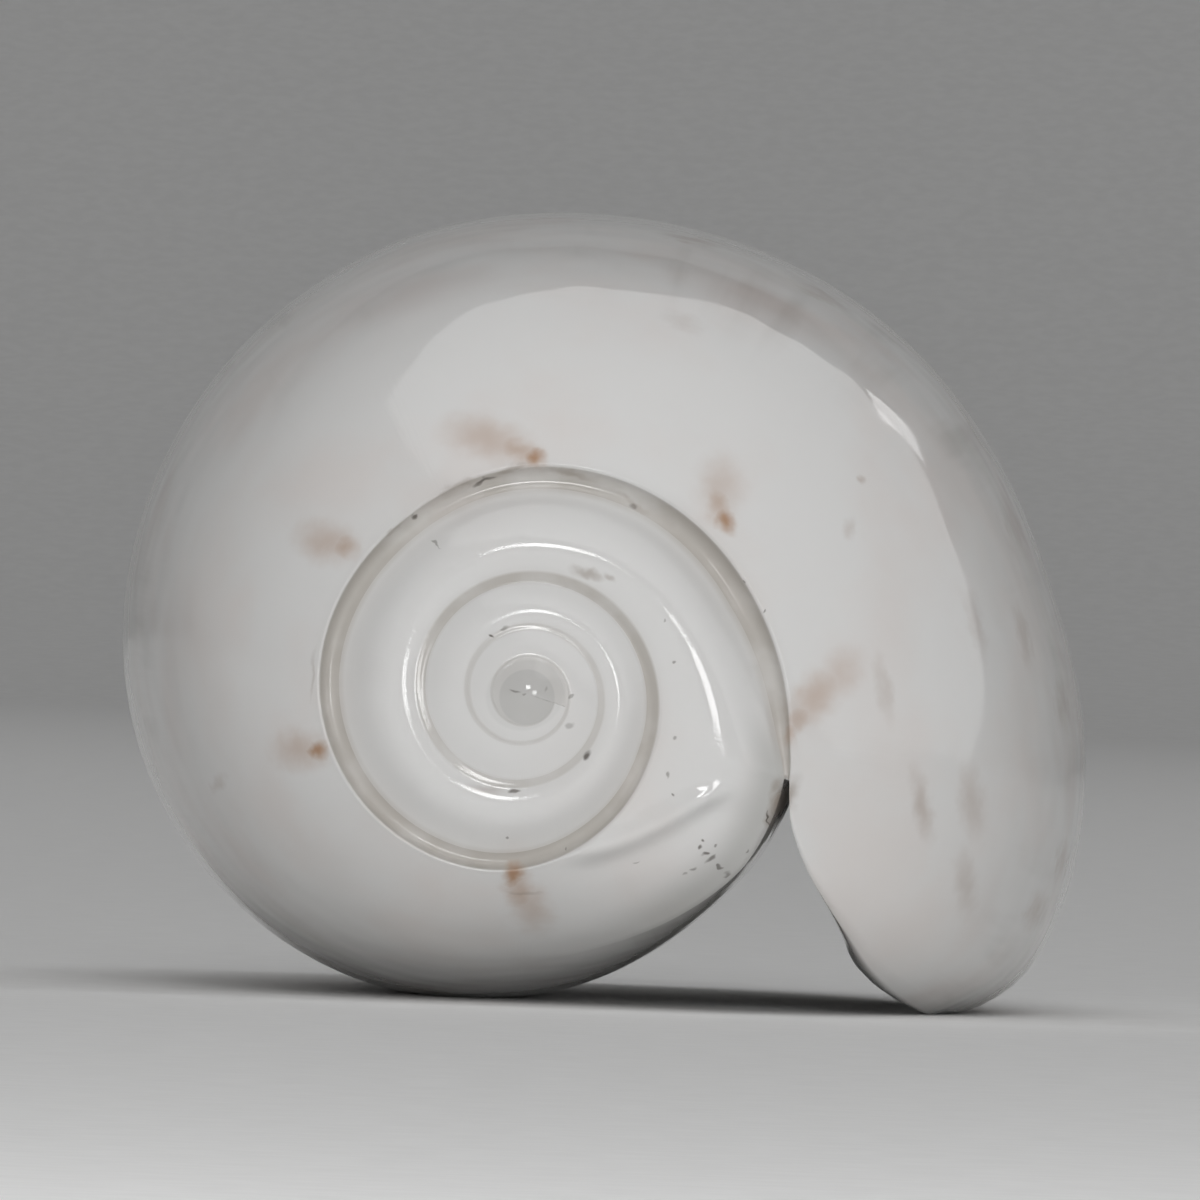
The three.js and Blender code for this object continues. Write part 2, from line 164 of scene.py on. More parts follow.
# Stage and lights, in metres and watts. A light is (name, shape, size, place, aim, power,
# whether it lights surfaces, whether it is mirrored in them)
VIEW_CLIP = [0.01, 20]
FLOOR_RINGS = [0.02, 0.3, 0.8]
FLOOR_FLAT = 1.35
FLOOR_RADIUS = 2.6
FLOOR_BOWL_RINGS = 16
FLOOR_RISE = 1.4
FLOOR_SIDES = 96
AMBIENT = 0.015
LIGHTS = [
    ("softbox", "ELLIPSE", (0.72, 1.35), (0.048, -0.099, 0.339), (-0.132, -0.099, 0.099), 1.9,
     False, True),
    ("floor_fill", "RECTANGLE", (0.2, 0.1), (0, -0.3, 0.28), (0, -0.03, 0), 0.2, True, False),
    ("low_fill", "RECTANGLE", (0.3, 0.05), (-0.01, -0.35, 0.035), (0, -0.015, 0.006), 0.3,
     True, False),
    ("backdrop", "RECTANGLE", (2.4, 1.2), (0, 0.3, 1.3), (0, 1.6, 0), 10, True, False),
    ("high_flash", "RECTANGLE", (0.16, 0.13), (0.02, -0.8, 0.26), (0, 0, 0.01), 0.78, True, True),
    ("side_flash", "RECTANGLE", (0.13, 0.16), (0.26, -0.8, 0.06), (0, 0, 0.01), 0.55, True, True),
    ("rim", "RECTANGLE", (0.06, 0.06), (0.28, 0.33, 0.25), (0, 0, 0.01), 0.018, True, True),
]

# Colours
ENAMEL = (0.80, 0.795, 0.785, 1)
WARM_ENAMEL = (0.78, 0.72, 0.69, 1)
STREAK_TINT = (0.46, 0.44, 0.41, 1)
BLUSH_TINT = (0.62, 0.5, 0.46, 1)
# Grey of the channel and the inner sutures: dust, and painted shade in the grooves
CHANNEL_DUST_AND_SHADE_TINT = (0.47, 0.44, 0.4, 1)
BARE_TINT = (0.52, 0.52, 0.5, 1)
NUCLEUS_TINT = (0.5, 0.5, 0.49, 1)
BROWN_TINT = (0.46, 0.285, 0.18, 1)
SMUDGE_TINT = (0.5, 0.42, 0.37, 1)
# Dark brown of the stains, which also paints the shade in the hollow where the lip meets the channel
STAIN_AND_SHADE_TINT = (0.30, 0.24, 0.19, 1)
SPECK_TINT = (0.10, 0.085, 0.07, 1)
FLOOR_DARK = (0.86, 0.86, 0.855, 1)
FLOOR_PALE = (0.9, 0.9, 0.895, 1)

# Clouds: noise scale per metre, detail, and the noise values between which it eases from 0 to 1,
# or from one given value to another
MOTTLING = [320, 3, 0.42, 0.72, 0, 0.5]
STREAKS = [1, 3, 0.5, 0.72, 0, 0.45]
STREAK_PATCHES = [190, 2, 0.42, 0.62]
BLUSH = [1, 2, 0.5, 0.75, 0, 0.35]
# Cloud of the channel's dust and painted shade
CHANNEL_DUST_AND_SHADE = [700, 3, 0.25, 0.6, 0.5, 1]
POLISH = [900, 4, 0.3, 0.7, 0.03, 0.09]

# Noise used as it is: scale and detail
SHAKE_NOISE = [2600, 2]
LINE_NOISE = [1, 3]
SWELL_NOISE = [300, 2]
FLOOR_GRAIN = [900, 4]
NOISE_MIDDLE = (0.5, 0.5, 0.5)

# Grain of the floor: noise values between which its colour and its roughness ease
FLOOR_TONE = [0.3, 0.7]
FLOOR_ROUGHNESS = [0.3, 0.7, 0.6, 0.8]

# Noise that follows the growth: its length per whorl and per millimetre of depth
STREAK_RUN = [46, 0.1]
BLUSH_RUN = [14, 0.25]
LINE_RUN = [420, 0.04]

# Limits between which a look sets in, in whorls back from the lip, in stations or in share
# inside. Two more numbers are the values that it eases between, instead of 0 and 1
OUTER_SIDE = [0.1, 0.4, 1, 0]
MOTTLING_GROWTH = [1.0, 1.2, 1, 0.2]
BODY_STATIONS = [1.7, 2.6]
CHANNEL_STATIONS = [0.8, 1.06, 1, 0]
CHANNEL_GROWTH = [1.0, 2.6, 1, 0.4]
SUTURE_STATIONS = [1.9, 2.0]
SUTURE_GROWTH = [1.02, 1.06, 0, 0.6]
BARE_ONSET = [0.87, 0.97]
BARE_END = [1.06, 1.1, 1, 0]
BARE_STATIONS = [1.5, 1.9]

# Strengths, and heights as shares of the relief. The reliefs and the shake of the marks are in
# millimetres
CHANNEL_TONE = 0.85
BARE_TONE = 0.7
CHANNEL_DULLNESS = 0.3
DULL_ROUGHNESS = 0.5
SHELL_IOR = 1.53
SHELL_RELIEF = 0.05
LINE_HEIGHT = 0.04
SWELL_HEIGHT = 1.6
FLOOR_RELIEF = 0.02
SHAKE = 0.32

# Marks on the side of the spire, in millimetres to the right of and above the coiling axis:
# (across, up, direction of its run in degrees, half length, half width, strength). The nucleus is
# level over a share of its reach. The others fade out between two places along the axis
SPOT_DEPTH = [-9, -5]
NUCLEUS_CORE = 0.9
NUCLEUS = [(0.12, -0.07, 0, 0.6, 0.6, 0.5), (0.08, -0.02, 20, 0.85, 0.75, 0.16)]
BROWN_SPOTS = [
    (0.25, 4.82, 155, 0.4, 0.26, 1.0), (-0.1, 4.98, 155, 0.8, 0.42, 0.6),
    (-0.7, 5.2, 165, 1.3, 0.65, 0.45), (4.12, 3.55, 110, 0.42, 0.3, 1.0),
    (4.0, 3.9, 90, 0.62, 0.42, 0.6), (4.05, 4.2, 90, 0.95, 0.7, 0.35),
    (-3.6, 2.98, 165, 0.45, 0.36, 0.6), (-4.0, 3.08, 170, 0.9, 0.62, 0.42),
    (-4.15, -1.16, 175, 0.36, 0.3, 1.0), (-4.5, -1.15, 175, 0.85, 0.62, 0.45),
    (-0.14, -3.7, 80, 0.36, 0.32, 1.0), (-0.02, -4.05, 110, 0.65, 0.48, 0.6),
    (0.2, -4.35, 120, 0.8, 0.6, 0.4), (5.65, -0.5, 60, 0.5, 0.34, 0.5),
    (6.0, -0.05, 50, 1.0, 0.62, 0.5), (6.5, 0.4, 60, 0.8, 0.6, 0.3),
    (5.5, -0.8, 90, 0.42, 0.2, 0.5),
]
SMUDGES = [
    (8.17, -2.26, 100, 1.0, 0.3, 0.6), (9.2, -2.2, 95, 1.1, 0.4, 0.45),
    (9.1, -3.9, 95, 1.0, 0.35, 0.4), (10.15, 3.4, 110, 1.0, 0.3, 0.4),
    (11.15, -0.2, 95, 0.9, 0.25, 0.5), (11.15, -3.5, 80, 0.6, 0.22, 0.6),
    (10.6, -4.5, 70, 0.6, 0.32, 0.6), (3.5, 9.35, -12, 0.9, 0.16, 0.5),
    (6.2, 8.2, -30, 0.9, 0.2, 0.45), (7.4, 0.1, 100, 1.0, 0.25, 0.35),
    (9.3, 1.4, 105, 1.0, 0.25, 0.35), (-6.2, -1.85, 60, 0.3, 0.2, 0.35),
    (6.94, 4.39, 0, 0.16, 0.13, 0.6), (6.7, 3.35, 90, 0.3, 0.2, 0.35),
    (3.3, 7.6, -20, 0.6, 0.25, 0.25), (9.6, 5.8, 120, 0.8, 0.2, 0.35),
    (8.3, 7.2, -45, 0.7, 0.2, 0.35), (10.3, 1.2, 100, 0.9, 0.2, 0.35),
]
# Stains. The first two and the last lie in the hollow where the lip meets the channel, and paint its
# shade along with a brown stain
STAINS_AND_SHADE = [
    (5.35, -2.2, 60, 0.75, 0.3, 0.8), (5.1, -2.6, 80, 0.35, 0.2, 0.5),
    (-0.7, -1.95, 0, 0.5, 0.18, 0.3), (1.35, 2.45, -20, 0.5, 0.14, 0.5),
    (1.8, 2.35, -35, 0.25, 0.1, 0.4), (-0.15, 4.6, 15, 0.5, 0.1, 0.45),
    (-1.3, 4.25, 25, 0.6, 0.1, 0.35), (1.0, 4.5, -15, 0.7, 0.12, 0.35),
    (2.3, 3.85, -35, 0.6, 0.1, 0.3), (-2.6, 3.35, 45, 0.4, 0.08, 0.3),
    (0.05, -4.05, -5, 0.5, 0.08, 0.3), (-4.25, 0.4, 85, 0.7, 0.06, 0.25),
    (5.2, -1.9, 75, 0.3, 0.16, 0.5),
]
SPECKS = [
    (-2.2, 3.63, 0, 0.1, 0.07, 0.9), (-0.75, 4.35, 15, 0.3, 0.06, 0.8),
    (2.27, 3.84, 0, 0.14, 0.08, 0.5), (4.52, 2.3, 0, 0.05, 0.05, 0.6),
    (5.0, 1.63, 0, 0.05, 0.05, 0.7), (-0.65, 1.16, 0, 0.06, 0.05, 0.95),
    (-0.31, 1.34, 10, 0.13, 0.05, 0.5), (-0.1, 0.04, -10, 0.14, 0.04, 0.5),
    (0.08, -0.05, 0, 0.07, 0.04, 0.4), (0.5, 0.1, 0, 0.05, 0.07, 0.3),
    (1.04, -0.05, 0, 0.06, 0.05, 0.5), (0.98, -0.63, 0, 0.12, 0.08, 0.35),
    (1.33, -1.26, 60, 0.15, 0.09, 0.9), (-0.17, -1.95, 0, 0.15, 0.07, 0.8),
    (-1.73, 3.05, -40, 0.14, 0.03, 0.5), (5.05, -2.52, 85, 0.18, 0.03, 0.95),
    (3.7, -3.0, 0, 0.06, 0.05, 0.8), (3.85, -3.4, 45, 0.16, 0.06, 0.7),
    (4.15, -3.65, 30, 0.1, 0.05, 0.5), (-0.3, -2.98, 0, 0.05, 0.05, 0.6),
    (0.88, -3.15, 90, 0.07, 0.03, 0.5), (3.1, -2.0, 0, 0.04, 0.04, 0.7),
    (3.6, -3.14, 20, 0.08, 0.05, 0.8), (3.72, -3.28, 0, 0.09, 0.06, 0.8),
    (3.5, -3.55, 30, 0.12, 0.05, 0.5), (4.05, -3.5, 0, 0.06, 0.05, 0.7),
    (3.3, -3.7, 20, 0.1, 0.05, 0.4), (3.95, -3.1, 0, 0.05, 0.04, 0.6),
    (3.04, -1.68, 80, 0.12, 0.04, 0.5), (3.16, -0.87, 0, 0.07, 0.05, 0.5),
    (3.1, 0.63, 0, 0.05, 0.04, 0.6), (2.35, -3.4, 10, 0.1, 0.03, 0.4),
    (4.6, -3.2, 50, 0.07, 0.04, 0.6), (2.9, 1.5, 0, 0.04, 0.04, 0.4),
]

# Marks from the lowest layer to the highest: spots, level share of their reach, colour, and
# whether they take the gloss away
MARKS = [
    (SMUDGES, 0, SMUDGE_TINT, False),
    (BROWN_SPOTS, 0, BROWN_TINT, False),
    # Stains, with the painted shade of the hollow beside the lip
    (STAINS_AND_SHADE, 0.1, STAIN_AND_SHADE_TINT, True),
    (SPECKS, 0.3, SPECK_TINT, True),
]


# A smooth curve through control points, held level past its ends
def curve(points, place):
    knots, values = np.array(points, float).T
    slopes = np.empty_like(values)
    slopes[1:-1] = (values[2:] - values[:-2]) / (knots[2:] - knots[:-2])
    slopes[0] = (values[1] - values[0]) / (knots[1] - knots[0])
    slopes[-1] = (values[-1] - values[-2]) / (knots[-1] - knots[-2])
    place = np.clip(place, knots[0], knots[-1])
    i = np.clip(np.searchsorted(knots, place, side="left") - 1, 0, len(knots) - 2)
    width = knots[i + 1] - knots[i]
    u = (place - knots[i]) / width
    rise = values[i + 1] - values[i]
    start, end = slopes[i] * width, slopes[i + 1] * width
    return values[i] + u * start + u**2 * (3 * rise - 2 * start - end) + u**3 * (start + end - 2 * rise)


def smoothstep(low, high, value):
    u = np.clip((value - low) / (high - low), 0, 1)
    return u * u * (3 - 2 * u)


# Rises from 0 to 1 over the first two limits and falls back over the last two
def plateau(limits, value):
    return smoothstep(*limits[:2], value) * (1 - smoothstep(*limits[2:], value))


def mix(first, second, share):
    return [a + (b - a) * share for a, b in zip(first, second)]


# A point on the cubic Bezier curve through four (radius, depth) points
def bezier(points, u):
    v = 1 - u
    weights = [v**3, 3 * u * v**2, 3 * u**2 * v, u**3]
    return [sum(w * point[axis] for w, point in zip(weights, points)) for axis in (0, 1)]


# Depth of the low cone that the spire follows, with a rounded tip
def spire_cone(radius):
    reach = np.hypot(radius, TIP_ROUNDING) ** SPIRE_POWER - TIP_ROUNDING**SPIRE_POWER
    return SPIRE_DEPTH * reach / SPIRE_RADIUS**SPIRE_POWER


# Landmarks of the whorl at one angle, each as (radius, depth)
def shoulder_edge(angle):
    radius = curve(SHOULDER, angle)
    return [radius, spire_cone(radius)]


def channel_cut(angle):
    return curve(SHOULDER, angle) * curve(CHANNEL_DEPTH, angle)


def suture(angle):
    radius = curve(SHOULDER, angle) * (1 - curve(CHANNEL_WIDTH, angle))
    return [radius, spire_cone(radius) + channel_cut(angle)]


def girth(angle):
    inner = suture(angle - 360)[0] + curve(PARIETAL_BULGE, angle)
    radius = np.where(angle > COMMISSURE + 360, inner, curve(GIRTH, angle))
    return [radius, curve(GIRTH_DEPTH, angle)]


def front_end(angle):
    return [curve(FRONT_RADIUS, angle), curve(FRONT_DEPTH, angle)]


# The groove beside the suture
def channel(angle, u):
    edge, foot = shoulder_edge(angle), suture(angle)
    width, cut = edge[0] - foot[0], channel_cut(angle)
    filled = smoothstep(CALLUS_ONSET, CALLUS_END, angle)
    floor_reach, floor_drop, wall_reach, wall_drop = mix(OPEN_CHANNEL, FILLED_CHANNEL, filled)
    return bezier([
        foot,
        [foot[0] + floor_reach * width, foot[1] + floor_drop * cut],
        [edge[0] - wall_reach * width, edge[1] + wall_drop * cut],
        edge,
    ], u)


# A section from one landmark to the next, with its handles as shares of width and height
def section(start, end, handles, u):
    (start_reach, start_drop), (end_reach, end_drop) = handles
    width, height = end[0] - start[0], end[1] - start[1]
    return bezier([
        start,
        [start[0] + start_reach * width, start[1] + start_drop * height],
        [end[0] - end_reach * width, end[1] - end_drop * height],
        end,
    ], u)


# The whorl from its shoulder edge out to its widest place, fuller where the lip comes to cover it
def open_shoulder(angle, covered, u):
    handles = [mix(a, b, covered) for a, b in zip(OPEN_SHOULDER, COVERED_SHOULDER)]
    return section(shoulder_edge(angle), girth(angle), handles, u)


# The part of an inner whorl that shows in the spire, down to the next suture
def spire_band(angle, u):
    handles = [
        [curve(BAND_REACH, angle), curve(BAND_ONSET, angle)],
        [BAND_TAIL, curve(BAND_END, angle)],
    ]
    return section(shoulder_edge(angle), suture(angle - 360), handles, u)


# The wall that faces the opening, from the suture to the widest place of the inner whorl
def inner_shoulder(angle, u):
    return section(suture(angle - 360), girth(angle), INNER_SHOULDER, u)


# From the widest place to the front end: full on the outer whorl, waisted on the columella
def flank(angle, u):
    start, end = girth(angle), front_end(angle)
    height = end[1] - start[1]
    waist = smoothstep(*WAIST_ANGLES, angle)
    handle_length, handle_drop = mix(FULL_FLANK, WAISTED_FLANK, waist)
    return bezier([
        start,
        [start[0], start[1] + FLANK_START * height],
        [end[0] + handle_length, end[1] - handle_drop * height],
        end,
    ], u)


# Relief, as a height along the radius
def columella_folds(angle, depth):
    onset = smoothstep(*FOLD_ANGLES, angle) * plateau(FOLD_RANGE, depth)
    phase = 2 * np.pi * (depth + FOLD_SLANT * (angle - COMMISSURE - 360)) / FOLD_PITCH
    return FOLD_HEIGHT * onset * (1 + np.cos(phase)) / 2


def front_band(angle, depth):
    edge = curve(BAND_EDGE, angle)
    return BAND_RELIEF * plateau(BAND_ANGLES, angle) * smoothstep(edge, edge + BAND_SLOPE, depth)


def spire_glaze(angle, radius):
    edge = curve(GLAZE_EDGE, angle)
    bead = GLAZE_BEAD * np.exp(-((radius - edge) / GLAZE_BEAD_WIDTH) ** 2)
    sink = GLAZE_RELIEF * smoothstep(edge, edge + GLAZE_SLOPE, radius)
    return plateau(GLAZE_ANGLES, angle) * (bead - sink)


# Outer profile. Stations: 0 suture, 1 shoulder edge, 2 next suture, 3 inner side of the
# wall's seat, 4 widest place, 5 front end
def profile(angle, station):
    below_seat = ABOVE_SEAT + (1 - ABOVE_SEAT) * (station - 2) / 2
    reach = np.where(station < 2, ABOVE_SEAT * (station - 1), below_seat)
    seat = np.where(station < 3, SEAT * (station - 2), SEAT + (1 - SEAT) * (station - 3))
    covered = smoothstep(*COVERED_ANGLES, angle)
    opened = open_shoulder(angle, covered, np.clip(reach, 0, 1))
    band = spire_band(angle, np.clip(station - 1, 0, 1))
    wall = inner_shoulder(angle, np.clip(seat, 0, 1))
    inner = [np.where(station < 2, b, w) for b, w in zip(band, wall)]
    front = flank(angle, np.clip(station - 4, 0, 1))
    groove = channel(angle, np.clip(station, 0, 1))
    radius, depth = [
        np.where(station <= 1, g, np.where(station < 4, m, f))
        for g, m, f in zip(groove, mix(opened, inner, covered), front)
    ]
    on_whorl = station > 1
    relief = np.where(on_whorl, columella_folds(angle, depth) + front_band(angle, depth), 0)
    sink = np.where(on_whorl & (station < 4), spire_glaze(angle, radius), 0)
    return [radius + relief, depth - sink]


# Inner profile, from station 3 to station 5
def inner_profile(angle, station):
    seat = profile(angle + 360, np.full_like(station, 3.0))
    outer_radius, outer_depth = girth(angle)
    widest = [outer_radius - WALL, outer_depth + HOLLOW_SINK]
    behind = section(seat, widest, HOLLOW_SHOULDER, np.clip(station - 3, 0, 1))
    along = np.clip(station - 4, 0, 1)
    outer = flank(angle, along)
    ahead = [outer[0] - (WALL + (FRONT_WALL - WALL) * along), outer[1] + HOLLOW_SINK * (1 - along)]
    return [np.where(station <= 4, b, a) for b, a in zip(behind, ahead)]


# A place on the shell in space, lying on the plane z = 0, in millimetres
def place(angle, point):
    radius, depth = point
    turn = np.radians(LIP_DIRECTION + angle)
    shift = APEX_SHIFT * (1 - smoothstep(0, APEX_SHIFT_RADIUS, radius))
    shift = shift * (1 - smoothstep(0, SPIRE_DEPTH, depth))
    x = radius * np.cos(turn) + shift + AXIS_OFFSET
    z = AXIS_HEIGHT + radius * np.sin(turn) - REST_DEPTH
    return np.stack(np.broadcast_arrays(x, depth - LENGTH / 2, np.maximum(z, 0)), axis=-1)


# Angles of the columns of vertices, which crowd towards the lip. Near it they bend to its line
def column_angle(column):
    whorls = column / COLUMNS_PER_WHORL
    return COMMISSURE + 360 * (whorls - COLUMN_CROWDING * np.sin(2 * np.pi * whorls) / (2 * np.pi))


def angle_from_lip(column, lip):
    angle = column_angle(column)
    reach = np.maximum(0, 1 - (angle - COMMISSURE) / LIP_REACH)
    return angle + (lip - COMMISSURE) * reach**2


def outer_angle(column, station):
    return angle_from_lip(column, curve(LIP_LINE, station))


# Inside, stations 3 to 4 lie behind stations 1 to 4 of the outer surface
def station_in_front(station):
    in_front = 1 + 3 * np.clip(station - 3, 0, 1) ** INNER_ONSET
    return np.where(station < 4, in_front, station)


def station_behind(station):
    behind = 3 + (np.clip(station - 1, 0, 3) / 3) ** (1 / INNER_ONSET)
    return np.where(station < 4, behind, station)


def inner_angle(column, station):
    lip = curve(LIP_LINE, station_in_front(station))
    return lip + (angle_from_lip(column, lip) - lip) * curve(HOLLOW_LENGTH, station)


def wall_angle(column, station):
    along = (column_angle(column) - COMMISSURE) * curve(HOLLOW_LENGTH, station)
    return COMMISSURE + 360 + along


def steps(start, end, count):
    return list(np.linspace(start, end, count + 1)[1:])


EDGE_SHARES = [(1 - math.cos(math.pi * i / EDGE_ROWS)) / 2 for i in range(1, EDGE_ROWS)]
SPIRE_STATIONS = np.array(
    [0] + steps(0, 1, GROOVE_ROWS) + [1 + u**BAND_CROWDING for u in steps(0, 1, BAND_ROWS)])
SEAT_STATIONS = np.array([2 + share for share in EDGE_SHARES])
WALL_STATIONS = np.array([3] + steps(3, 4, WALL_ROWS) + steps(4, 5, FLANK_ROWS))
OUTER_STATIONS = np.concatenate([SPIRE_STATIONS, SEAT_STATIONS, WALL_STATIONS])
INNER_STATIONS = np.array([3] + steps(3, 4, HOLLOW_WALL_ROWS) + steps(4, 5, HOLLOW_FLANK_ROWS))


# The mesh is gathered patch by patch: points, their growth coordinates, and faces
class Surface:
    def __init__(self):
        self.points = []
        self.growth = []
        self.faces = []
        self.count = 0

    def add(self, angle, station, points, inside=0.0):
        layers = np.broadcast_arrays(angle / 360, station, inside, points[..., 0])[:3]
        growth = np.stack(layers, axis=-1)
        self.points.append(points.reshape(-1, 3))
        self.growth.append(growth.reshape(-1, 3))
        index = self.count + np.arange(self.points[-1].shape[0])
        self.count += len(index)
        return index.reshape(points.shape[:-1])

    def sheet(self, index):
        a, b, c, d = index[:-1, :-1], index[1:, :-1], index[1:, 1:], index[:-1, 1:]
        self.faces += np.stack([a, d, c, b], axis=-1).reshape(-1, 4).tolist()

    # A strip between two lines that need not have the same number of points
    def strip(self, first, second):
        points = np.concatenate(self.points)
        i = j = 0
        while i + 1 < len(first) or j + 1 < len(second):
            first_ended, second_ended = i + 1 >= len(first), j + 1 >= len(second)
            take_first = second_ended
            if not first_ended and not second_ended:
                along_first = np.linalg.norm(points[first[i + 1]] - points[second[j]])
                along_second = np.linalg.norm(points[first[i]] - points[second[j + 1]])
                take_first = along_first <= along_second
            if take_first:
                self.faces.append([int(first[i]), int(second[j]), int(first[i + 1])])
                i += 1
            else:
                self.faces.append([int(first[i]), int(second[j]), int(second[j + 1])])
                j += 1

    def fan(self, centre, line):
        self.faces += [[int(centre), int(a), int(b)] for a, b in zip(line[:-1], line[1:])]


def grid(surface, columns, rows, angle_at, profile_at, inside=0.0):
    column, station = np.meshgrid(columns, rows, indexing="ij")
    angle = angle_at(column, station)
    return surface.add(angle, station, place(angle, profile_at(angle, station)), inside)


# A line along the rounded edge of the lip and of the front notch, at a share of the way in
def edge_line(surface, share, rim_angles):
    lip_stations = OUTER_STATIONS[OUTER_STATIONS >= 1]
    station = np.concatenate([lip_stations, np.full(len(rim_angles), 5.0)])
    angle = np.concatenate([curve(LIP_LINE, lip_stations), rim_angles])
    on_lip = np.concatenate([smoothstep(*BULGE_STATIONS, lip_stations), np.zeros(len(rim_angles))])
    on_rim = smoothstep(NOTCH_ONSET, 5, station)
    inner = inner_profile(angle, station_behind(station))
    radius, depth = mix(profile(angle, station), inner, share)
    roundness = 2 * math.sqrt(share * (1 - share))
    turned = angle - np.degrees(EDGE_BULGE * roundness * on_lip / radius)
    depth = depth + NOTCH_BULGE * roundness * on_rim
    return surface.add(angle, station, place(turned, [radius, depth]), share)


# Closes the lip and the notch from the outer surface to the inner one, line by line. Returns
# the last point of each line
def close_lip(surface, outer, inner, rim_angles):
    lines = [np.concatenate([outer[0], outer[1:len(rim_angles), -1]])]
    seat_rows = np.searchsorted(OUTER_STATIONS, SEAT_STATIONS)
    for share, row in zip(EDGE_SHARES, seat_rows):
        line = edge_line(surface, share, rim_angles[1:])
        lines.append(np.concatenate([[outer[-1, row]], line]))
    lines.append(np.concatenate([inner[0], inner[1:, -1]]))
    for first, second in zip(lines[:-1], lines[1:]):
        surface.strip(first, second)
    return [line[-1] for line in lines]


# Closes the front end around the tip of the columella
def close_front(surface, boundary):
    tip_angle = np.array(FRONT_TIP_ANGLE)
    tip = surface.add(tip_angle, np.array(5.0), place(tip_angle, FRONT_TIP))
    surface.fan(tip, boundary[::-1])


# Closes the tip of the spire with rings that shrink on its cone
def close_apex(surface, rim):
    points = np.concatenate(surface.points)[rim]
    apex_point = place(np.array(0.0), [np.array(0.0), np.array(0.0)])
    rings = [rim]
    for share in steps(1, 0, CAP_RINGS)[:-1]:
        ring = apex_point + (points - apex_point) * share
        reach = np.hypot(ring[:, 0] - apex_point[0], ring[:, 2] - apex_point[2])
        ring[:, 1] = spire_cone(reach) - LENGTH / 2
        rings.append(surface.add(APEX_ANGLE, 0.0, ring))
    for first, second in zip(rings[:-1], rings[1:]):
        surface.strip(second, first)
    apex = surface.add(np.array(APEX_ANGLE), np.array(0.0), apex_point)
    surface.fan(apex, rings[-1])


def build_shell():
    surface = Surface()
    whorl = np.arange(COLUMNS_PER_WHORL + 1)
    hollow = np.arange(HOLLOW_COLUMNS + 1)
    spire = np.arange(COLUMNS_PER_WHORL * WHORLS_IN_SPIRE + 1)

    outer = grid(surface, whorl, OUTER_STATIONS, outer_angle, profile)
    inner_whorls = grid(
        surface, spire, SPIRE_STATIONS, lambda c, s: column_angle(c + COLUMNS_PER_WHORL), profile)
    inner = grid(surface, hollow, INNER_STATIONS, inner_angle, inner_profile, 1.0)
    wall = grid(surface, hollow, WALL_STATIONS, wall_angle, profile, 0.5)
    surface.sheet(outer)
    surface.sheet(inner_whorls)
    surface.sheet(wall)
    surface.sheet(inner[::-1])
    surface.strip(inner[-1], wall[-1])

    front_angles = outer_angle(whorl, np.full(len(whorl), 5.0))
    hollow_end = inner_angle(np.array(HOLLOW_COLUMNS), np.array(5.0))
    rim_angles = front_angles[front_angles < hollow_end]
    seam = close_lip(surface, outer, inner, rim_angles)
    past_rim = outer[len(rim_angles):, -1]
    close_front(surface, np.concatenate([seam[::-1], past_rim, wall[1:, -1], [seam[-1]]]))

    last_turn = inner_whorls[-COLUMNS_PER_WHORL - 1:, 0]
    close_apex(surface, np.concatenate([last_turn, inner_whorls[-1, 1:]]))
    return surface


# Faces between welded points without doubled corners, and the corners' numbers before the weld
def welded_faces(surface, welded):
    faces, corners = [], []
    for face in surface.faces:
        kept = []
        for corner in face:
            if welded[corner] not in [welded[c] for c in kept]:
                kept.append(corner)
        if len(kept) >= 3:
            faces.append([int(welded[c]) for c in kept])
            corners += kept
    return faces, corners


def shell_object():
    surface = build_shell()
    points = np.concatenate(surface.points)
    growth = np.concatenate(surface.growth)
    _, first, welded = np.unique(
        np.round(points, WELD_DIGITS), axis=0, return_index=True, return_inverse=True)
    faces, corners = welded_faces(surface, welded.reshape(-1))
    mesh = bpy.data.meshes.new("olive_shell_fine")
    mesh.from_pydata((points[first] * MM).tolist(), [], faces)
    mesh.polygons.foreach_set("use_smooth", [True] * len(mesh.polygons))
    for i, name in enumerate(("growth", "station", "inside")):
        layer = mesh.attributes.new(name, "FLOAT", "CORNER")
        layer.data.foreach_set("value", growth[corners, i].astype(np.float32))
    mesh.update()
    shell = bpy.data.objects.new("olive_shell_fine", mesh)
    bpy.context.scene.collection.objects.link(shell)
    return shell


